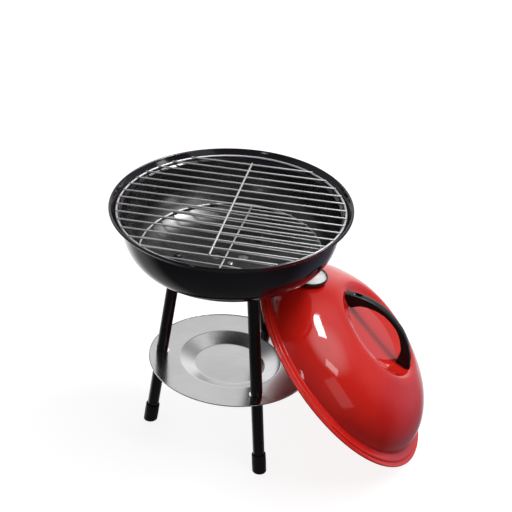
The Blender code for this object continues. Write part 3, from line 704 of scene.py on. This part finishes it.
plate = piece("plate_sheet", turned(low_line + edge_line + top_line[::-1], 160), SHEET, plate_place, 32)
HOLE_SHIFT = {"left": 0.0008, "front": -0.0008, "rear": 0.0}
holes = []
for side in LEG_ANGLES:
    into = plate_place.inverted() @ leg_place(side)
    holes.append(rod((0, 0, 0.095), (0, 0, 0.175), TUBE_R + 0.0014, 48).moved(Matrix.Translation((HOLE_SHIFT[side], 0, 0)) @ into))
carve(plate, holes, sharp=32)
finish_piece(plate, "stand", "ash_plate", slot="ash_sheet")


# =====================================================================================
# lid
# =====================================================================================
lid_out = fillet([(0.0, FLOOR_H), (FLOOR_R + 0.0002, FLOOR_H), WALL_TOP, (0.0768, 0.0741), (0.0805, 0.0762),
                  (0.0850, 0.0775), (0.0893, 0.0773)], [0, 0.0030, 0.004, 0.010, 0.012, 0.012, 0], 6)
lid_out = [lid_out[0]] + [(r, FLOOR_H) for r in (0.01, 0.02, 0.03, 0.04, 0.048)] + lid_out[1:]
lid_out += [(DOME_R * math.sin(a), DOME_H * math.cos(a)) for a in (rad(34.6 + (86.0 - 34.6) * k / 44) for k in range(45))]
lid_out += fillet([(0.16885, 0.0060), (0.1697, 0.0049), (0.1712, 0.0046), (0.1795, 0.0044), (0.1812, 0.0036), (0.1824, 0.0015),
                   (0.1868, 0.0012)], [0, 0.001, 0.001, 0.0016, 0.0014, 0.0008, 0], 4)
lid_in = offset(lid_out, -LID_WALL)
lid_in[0] = (0.0, FLOOR_H - LID_WALL)
lid_in = [(max(0.0, r), z) for r, z in lid_in]
lid_rim = arc((LID_R - LID_BEAD - 0.0005, 0.0), LID_BEAD, 118, -150, 14)
lid_shape = turned(lid_out + lid_rim + lid_in[::-1], 224)
far = np.hypot(lid_shape.p[:, 0], lid_shape.p[:, 1])
ease = np.clip((0.1300 - far) / (0.1300 - 0.0920), 0.0, 1.0)
ease = ease * ease * (3 - 2 * ease)
lid_shape.p[:, 0] += RECESS_OFF[0] * ease
lid_shape.p[:, 1] += RECESS_OFF[1] * ease
lid = piece("lid_dome", lid_shape, RED, lid_place)

wall_low = (FLOOR_R + 0.0012, FLOOR_H + 0.0008)
wall_tilt = math.atan2(WALL_TOP[1] - wall_low[1], WALL_TOP[0] - wall_low[0])


def wall_point(r):
    return (r, wall_low[1] + (r - wall_low[0]) * math.tan(wall_tilt))


def screw_place(way):
    at = wall_point(SCREW_AT_R)
    return (Matrix.Rotation(0 if way > 0 else math.pi, 4, "Z") @ Matrix.Translation((at[0], 0, at[1]))
            @ Matrix.Rotation(-wall_tilt, 4, "Y"))


dial_slope = math.atan2(DIAL_AT_R / DOME_R ** 2, dome_h(DIAL_AT_R) / DOME_H ** 2)
dial_in_lid = (Matrix.Rotation(DIAL_TURN, 4, "Z") @ Matrix.Translation((DIAL_AT_R, 0, dome_h(DIAL_AT_R)))
               @ Matrix.Rotation(dial_slope, 4, "Y"))
shift = Matrix.Translation((RECESS_OFF[0], RECESS_OFF[1], 0.0))
lid_cuts = [rod((0, 0, -0.006), (0, 0, 0.006), 0.0026, 24).moved(shift @ screw_place(way)) for way in (1, -1)]
lid_cuts.append(rod((0, 0, -0.008), (0, 0, 0.006), 0.0052, 32).moved(dial_in_lid))
carve(lid, lid_cuts, sharp=34)
finish_piece(lid, "lid", "lid_shell", slot="red_enamel")
# The CAD's dome is faceted, so its box is a hair smaller than a smooth dome's: ease the outermost part in by 0.22 mm.
for corner in lid.data.vertices:
    t = max(0.0, min(1.0, (corner.co.x - 0.200) / 0.045))
    corner.co.x -= 0.00022 * t * t * (3 - 2 * t)
lid.data.update()


# -------------------------------------------------------------------- handle
HANDLE_OUTER = ((0.0770, 0.0792), (0.0700, 0.0852), (0.0560, 0.0950), (0.0400, 0.1030), (0.0210, 0.1084), (0.0, 0.1100))
HANDLE_INNER = ((0.0, 0.1028), (0.0150, 0.1014), (0.0312, 0.0952), (0.0460, 0.0850), (0.0525, 0.0755))
outer_line, inner_line = smooth_line(HANDLE_OUTER, 10), smooth_line(HANDLE_INNER, 10)
clear = 0.0004 / math.cos(wall_tilt) + 0.0002
foot_in = wall_point(0.0562)
foot = [(foot_in[0], foot_in[1] + clear), (WALL_TOP[0], WALL_TOP[1] + clear), (0.0762, 0.0739 + clear), (0.0778, 0.0765 + clear)]
half = [(p, "inner") for p in inner_line] + [(p, "foot") for p in foot] + [(p, "outer") for p in outer_line[:-1]]
ring = half + [(outer_line[-1], "outer")] + [((-p[0], p[1]), k) for p, k in reversed(half) if p[0] > 1e-6]
flat = [p for p, _ in ring]
flat = fillet(flat, [0.0016 if k == "foot" else 0 for _, k in ring], 4, closed=True)
kinds = []
for p in flat:
    kinds.append(min(ring, key=lambda q: (q[0][0] - p[0]) ** 2 + (q[0][1] - p[1]) ** 2)[1])
count = len(flat)
normals = []
for i in range(count):
    a, b = Vector(flat[i - 1]), Vector(flat[(i + 1) % count])
    d = (b - a).normalized()
    normals.append(Vector((-d.y, d.x)))
area = sum(flat[i][0] * flat[(i + 1) % count][1] - flat[(i + 1) % count][0] * flat[i][1] for i in range(count))
if area < 0:
    normals = [-n for n in normals]


def inset(kind, x, y):
    t = abs(y) / (HANDLE_WIDE / 2)
    if kind == "outer":
        ease_in = 1.0 - 0.55 * max(0.0, min(1.0, (abs(x) - 0.062) / 0.014))
        edge = max(0.0, (t - 0.62) / 0.38)
        return ease_in * (0.0007 * t * t + 0.0017 * (1 - math.sqrt(max(0.0, 1 - edge * edge))))
    edge = max(0.0, (t - 0.86) / 0.14)
    return 0.0001 * t * t + (0.0009 if kind == "inner" else 0.0005) * (1 - math.sqrt(max(0.0, 1 - edge * edge)))


layers = [-8.0, -7.97, -7.88, -7.72, -7.45, -7.1, -6.6, -5.9, -5.0, -3.5, -1.8, 0.0]
layers = [v / 1000 for v in layers] + [-v / 1000 for v in reversed(layers[:-1])]
points, faces = [], []
for y in layers:
    depth = [inset(kind, x, y) for (x, z), kind in zip(flat, kinds)]
    for _ in range(6):
        depth = [(depth[i - 1] + 2 * depth[i] + depth[(i + 1) % count]) / 4 for i in range(count)]
    for (x, z), d, n in zip(flat, depth, normals):
        points.append((x + n.x * d, y, z + n.y * d))
for j in range(len(layers) - 1):
    for i in range(count):
        k = (i + 1) % count
        faces.append((j * count + i, j * count + k, (j + 1) * count + k, (j + 1) * count + i))
faces.append(tuple(range(count)))
faces.append(tuple(len(layers) * count - 1 - i for i in range(count)))
handle = piece("handle_arch", Shape(points, faces).outward(), MOULDED, recess_place, 42)
pockets = []
for way in (1, -1):
    pocket = [(0.0, -0.010), (0.0026, -0.010), (0.0026, HEAD_UP - 0.0004), (0.0047, HEAD_UP - 0.0004), (0.0050, HEAD_UP + 0.006),
              (0.0050, 0.040), (0.0, 0.040)]
    # turned a little, so that no corner of the cutter meets an edge of the handle exactly
    pockets.append(turned(pocket, 40).moved(screw_place(way) @ Matrix.Rotation(0.021, 4, "Z")))
carve(handle, pockets, sharp=42)
finish_piece(handle, "lid", "lid_handle", slot="handle_plastic")

for name, way in (("upper", 1), ("lower", -1)):
    place = recess_place @ screw_place(way)
    screw = piece("handle_bolt_" + name, pan_head(0.0040, 0.0027, 0.0020, -0.0090, HEAD_UP), ZINC, place)
    carve(screw, cross_recess(0.0040, HEAD_UP + 0.0027, 0.0014))
    finish_piece(screw, "lid", "handle_screw_" + name, slot="zinc_steel")

# -------------------------------------------------------------------- thermometer
dial_place = lid_place @ dial_in_lid
base, R = 0.0009, DIAL_R
case = fillet([(0.0031, -0.0110), (0.0045, -0.0110), (0.0045, base), (R - 0.0030, base), (R - 0.0006, base + 0.0018),
               (R, base + DIAL_DEEP - 0.0012), (R - 0.0007, base + DIAL_DEEP), (R - 0.0018, base + DIAL_DEEP),
               (R - 0.0018, base + DIAL_DEEP - 0.0006), (R - 0.0009, base + DIAL_DEEP - 0.0010), (R - 0.0013, base + 0.0021),
               (R - 0.0035, base + 0.0010), (0.0031, base + 0.0010)],
              [0.0002, 0.0004, 0.0004, 0.0018, 0.0014, 0.0012, 0.0007, 0.0003, 0.0001, 0.0002, 0.0008, 0.0006, 0.0002], 4, closed=True)
made = piece("gauge_case", turned(case, 96, closed=True), BEZEL, dial_place)
finish_piece(made, "lid", "thermometer_case", slot="thermometer_black")
face_z = base + 0.0022
face = fillet([(0.0012, face_z), (R - 0.0018, face_z), (R - 0.0018, face_z + 0.0006), (0.0012, face_z + 0.0006)],
              [0, 0.0001, 0.0001, 0], 2, closed=True)
made = piece("gauge_face", turned(face, 96, closed=True), GAUGE_WHITE, dial_place)
finish_piece(made, "lid", "thermometer_dial", slot="dial_white")
lens_top = base + DIAL_DEEP - 0.0010 - 0.0004
lens = fillet([(0.0, lens_top - 0.0009), (R - 0.0013, lens_top - 0.0009), (R - 0.0013, lens_top), (0.0, lens_top)],
              [0, 0.0002, 0.0002, 0], 3)
made = piece("gauge_lens", turned(lens, 96), LENS, dial_place)
finish_piece(made, "lid", "thermometer_lens", slot="lens_glass")

# scale: raised ink ticks and a ring line on the dial
NEEDLE_HEADING = rad(215.0)
scale = Shape()
top = face_z + 0.0006
for i in range(51):
    a = NEEDLE_HEADING - rad(250) * i / 50
    major = i % 5 == 0
    r0, r1, w = (R - 0.0078, R - 0.0036, 0.00032) if major else (R - 0.0056, R - 0.0036, 0.00014)
    c, s = math.cos(a), math.sin(a)
    pts = []
    for z in (top - 0.00003, top + 0.00005):
        for r, side in ((r0, -w), (r1, -w), (r1, w), (r0, w)):
            pts.append((r * c - side * s, r * s + side * c, z))
    scale += Shape(pts, [(3, 2, 1, 0), (4, 5, 6, 7), (0, 1, 5, 4), (1, 2, 6, 5), (2, 3, 7, 6), (3, 0, 4, 7)]).outward()
ring_line = [(R - 0.0036, top - 0.00003), (R - 0.0033, top - 0.00003), (R - 0.0033, top + 0.00005), (R - 0.0036, top + 0.00005)]
scale += turned(ring_line, 96, closed=True)
made = piece("gauge_scale", scale, SCALE_INK, dial_place)
finish_piece(made, "lid", slot="needle_black")

needle_z = face_z + 0.0009
tip = R - 0.0068
outline = [(-0.0060, 0.0010), (-0.0064, 0.0), (-0.0060, -0.0010), (-0.0016, -0.0009), (0.0, -0.0019), (0.0022, -0.0008),
           (tip - 0.004, -0.00045), (tip, 0.0), (tip - 0.004, 0.00045), (0.0022, 0.0008), (0.0, 0.0019), (-0.0016, 0.0009)]
outline = fillet(outline, [0.0004] * 6 + [0.001, 0.00008, 0.001] + [0.0004] * 3, 3, closed=True)
n = len(outline)
pts = [(x, y, needle_z) for x, y in outline] + [(x, y, needle_z + 0.0004) for x, y in outline]
fcs = [tuple(range(n))[::-1], tuple(range(n, 2 * n))] + [(i, (i + 1) % n, n + (i + 1) % n, n + i) for i in range(n)]
needle = Shape(pts, fcs).outward().moved(Matrix.Rotation(NEEDLE_HEADING, 4, "Z"))
made = piece("gauge_needle", needle, NEEDLE_INK, dial_place, 30)
finish_piece(made, "needle", "thermometer_needle", slot="needle_black")

# =====================================================================================
# carried-over pieces get their materials
# =====================================================================================
for node, material in {"vent_damper": ZINC, "damper_rivet": ZINC, "leg_plug_front": ZINC, "leg_plug_left": ZINC,
                       "leg_plug_rear": ZINC, "handle_nut_upper": ZINC, "handle_nut_lower": ZINC,
                       "thermometer_nut": ZINC, "thermometer_stem": ZINC, "thermometer_spindle": ZINC,
                       "thermometer_coil": BIMETAL}.items():
    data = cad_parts[node].data
    data.materials.clear()
    data.materials.append(material)
    for poly in data.polygons:
        poly.material_index = 0

# =====================================================================================
# stage, camera and light
# =====================================================================================
floor_shape = Shape([(-6, -6, 0), (6, -6, 0), (6, 6, 0), (-6, 6, 0)], [(0, 1, 2, 3)])
n = Nodes("pale_floor").set(specular=0.1, roughness=0.8)
n.to(n.mix(n.noise(3.0), (0.34, 0.34, 0.34), (0.33, 0.33, 0.33)), "Base Color")
n.shader.inputs["Emission Color"].default_value = (1.0, 1.0, 1.0, 1.0)
n.shader.inputs["Emission Strength"].default_value = 0.84
floor = piece("floor", floor_shape, n.material)
floor.visible_glossy = False
floor.visible_diffuse = False
# A pale wall round the floor, for low views. Only the camera sees it, so it neither lights nor shades the grill.
foot_line, around = [(5.55, 0.002), (5.72, 0.03), (5.88, 0.20), (5.98, 0.70), (6.0, 1.6), (6.0, 7.0)], 96
wall_points = [(r * math.cos(math.tau * k / around), r * math.sin(math.tau * k / around), z)
               for r, z in foot_line for k in range(around)]
wall_faces = [(i * around + k, (i + 1) * around + k, (i + 1) * around + (k + 1) % around, i * around + (k + 1) % around)
              for i in range(len(foot_line) - 1) for k in range(around)]
backdrop = piece("backdrop", Shape(wall_points, wall_faces), n.material)
for sight in ("diffuse", "glossy", "transmission", "volume_scatter", "shadow"):
    setattr(backdrop, "visible_" + sight, False)

# camera: fitted to the rim, the two grates, the plate and the legs
tilt, pan, roll, focal = 0.55304, 0.02314, -0.03606, 1299.6583
cp, sp, ct, st = math.cos(pan), math.sin(pan), math.cos(tilt), math.sin(tilt)
ahead = np.array([sp * ct, cp * ct, -st])
right = np.array([cp, -sp, 0.0])
down = np.cross(ahead, right)
cr, sr = math.cos(roll), math.sin(roll)
right, down = cr * right + sr * down, -sr * right + cr * down
view = Matrix.Identity(4)
for i in range(3):
    view[i][0], view[i][1], view[i][2] = right[i], -down[i], -ahead[i]
view.translation = Vector((AXIS.x, AXIS.y - 1.64097, 1.33121))
camera_data = bpy.data.cameras.new("camera")
camera_data.sensor_width = 36.0
camera_data.lens = focal * 36.0 / 512
camera = bpy.data.objects.new("camera", camera_data)
root_collection.objects.link(camera)
camera.matrix_world = view
scene.camera = camera

def heading(azimuth, elevation):
    """A unit vector. Azimuth 0 is +Y, behind the grill, and 90 is +X."""
    a, e = rad(azimuth), rad(elevation)
    return Vector((math.sin(a) * math.cos(e), math.cos(a) * math.cos(e), math.sin(e)))


# The room: a white sweep behind, a dim room on the camera's side and a dim ground, which only gloss sees.
world = bpy.data.worlds.new("studio")
scene.world = world
world.use_nodes = True
tree = world.node_tree
room = tree.nodes["Background"]
where = tree.nodes.new("ShaderNodeTexCoord").outputs["Generated"]


def node_math(operation, a, b=None):
    made = tree.nodes.new("ShaderNodeMath")
    made.operation = operation
    for socket, value in zip(made.inputs, (a, b)):
        if value is None:
            continue
        if isinstance(value, (int, float)):
            socket.default_value = value
        else:
            tree.links.new(value, socket)
    return made.outputs[0]


def lobe(azimuth, elevation, inner, outer, strength):
    """A soft patch of light on the room's walls: full within inner degrees, gone at outer degrees."""
    dot = tree.nodes.new("ShaderNodeVectorMath")
    dot.operation = "DOT_PRODUCT"
    tree.links.new(where, dot.inputs[0])
    dot.inputs[1].default_value = heading(azimuth, elevation)
    fade = tree.nodes.new("ShaderNodeMapRange")
    fade.interpolation_type = "SMOOTHSTEP"
    fade.inputs["From Min"].default_value = math.cos(rad(outer))
    fade.inputs["From Max"].default_value = math.cos(rad(inner))
    fade.inputs["To Min"].default_value = 0.0
    fade.inputs["To Max"].default_value = strength
    tree.links.new(dot.outputs["Value"], fade.inputs["Value"])
    return fade.outputs["Result"]


light = node_math("ADD", 0.085, lobe(-12, -6, 30, 58, 1.00))
for patch in ((58, 22, 10, 52, 0.40), (60, -30, 10, 42, 0.20), (-80, 20, 15, 60, 0.30), (-52, -38, 10, 38, 0.60),
              (106, 60, 2, 27, 2.00), (76, 63, 12, 36, 0.60), (180, -60, 15, 50, 0.06), (180, 28, 12, 46, 0.10)):
    light = node_math("ADD", light, lobe(*patch))
tree.links.new(light, room.inputs["Strength"])
cool = tree.nodes.new("ShaderNodeMix")
cool.data_type = "RGBA"
cool.inputs[6].default_value = (1.0, 0.995, 1.0, 1.0)
cool.inputs[7].default_value = (0.80, 0.76, 1.0, 1.0)
tree.links.new(lobe(72, -24, 10, 48, 1.0), cool.inputs[0])
tree.links.new(cool.outputs[2], room.inputs["Color"])
centre = (cad_lo + cad_hi) / 2


def softbox(name, azimuth, elevation, away, wide, tall, radiance, roll_deg=0.0, colour=(1, 1, 1), aim=None):
    data = bpy.data.lights.new(name, "AREA")
    data.shape = "RECTANGLE"
    data.size, data.size_y = wide, tall
    data.energy = radiance * wide * tall * 4.0
    data.color = colour
    made = bpy.data.objects.new(name, data)
    root_collection.objects.link(made)
    target = Vector(aim) if aim is not None else centre
    made.location = target + heading(azimuth, elevation) * away
    made.rotation_mode = "QUATERNION"
    made.rotation_quaternion = ((target - made.location).to_track_quat("-Z", "Y")
                                @ Matrix.Rotation(rad(roll_deg), 3, "Z").to_quaternion())
    return made


softbox("key", 71, 64, 2.4, 0.80, 0.38, 25.0)
softbox("side", 131, 46, 2.2, 0.32, 0.54, 4.0, 25.0)
softbox("edge", -147, 18, 2.2, 0.13, 0.50, 7.0)
softbox("panel", 148, 22, 2.4, 0.95, 1.35, 0.55, 12.0)
# Two broad, dim lights for the inside of the bowl alone.
bowl_only = bpy.data.collections.new("bowl_only")
bowl_only.objects.link(bowl)
for lamp in (softbox("bowl_fill", 44, 60, 2.4, 1.15, 0.85, 6.5), softbox("bowl_side", 106, 25, 2.4, 0.36, 0.60, 4.5)):
    lamp.light_linking.receiver_collection = bowl_only
scene.view_settings.view_transform = "Standard"
